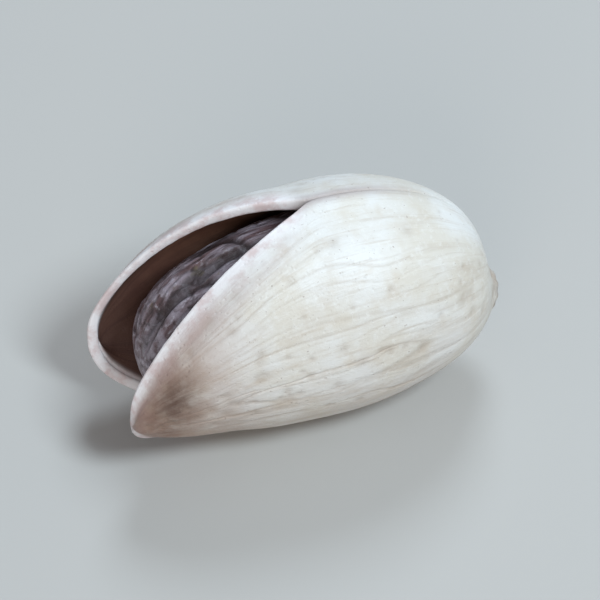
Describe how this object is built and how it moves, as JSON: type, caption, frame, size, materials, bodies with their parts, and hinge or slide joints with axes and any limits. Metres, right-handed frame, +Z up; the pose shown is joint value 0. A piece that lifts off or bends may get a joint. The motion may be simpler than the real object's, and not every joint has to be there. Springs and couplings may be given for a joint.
{
  "type": "pistachio in shell",
  "caption": "Pistachio in its pale woody shell, split open along the seam with the purple-brown kernel showing between the halves.",
  "frame": {"origin": "middle of the bounding box's bottom face, on the surface that the nut rests on", "axes": "+X along the nut towards its stem end, so the open tip is at -X; +Z up, out of the split; -Y is the front half's side"},
  "size_m": [0.0208, 0.011, 0.0119],
  "materials": {
    "shell": "dry bone-coloured shell, satin, with fine lengthwise veins, pits and tan and mauve stains",
    "kernel_skin": "dry papery skin, wrinkled lengthwise, purple-brown with tan and greenish patches"
  },
  "bodies": {
    "root": {"front_half_shell": "shell", "back_half_shell": "shell", "kernel": "kernel_skin"}
  },
  "joints": []
}
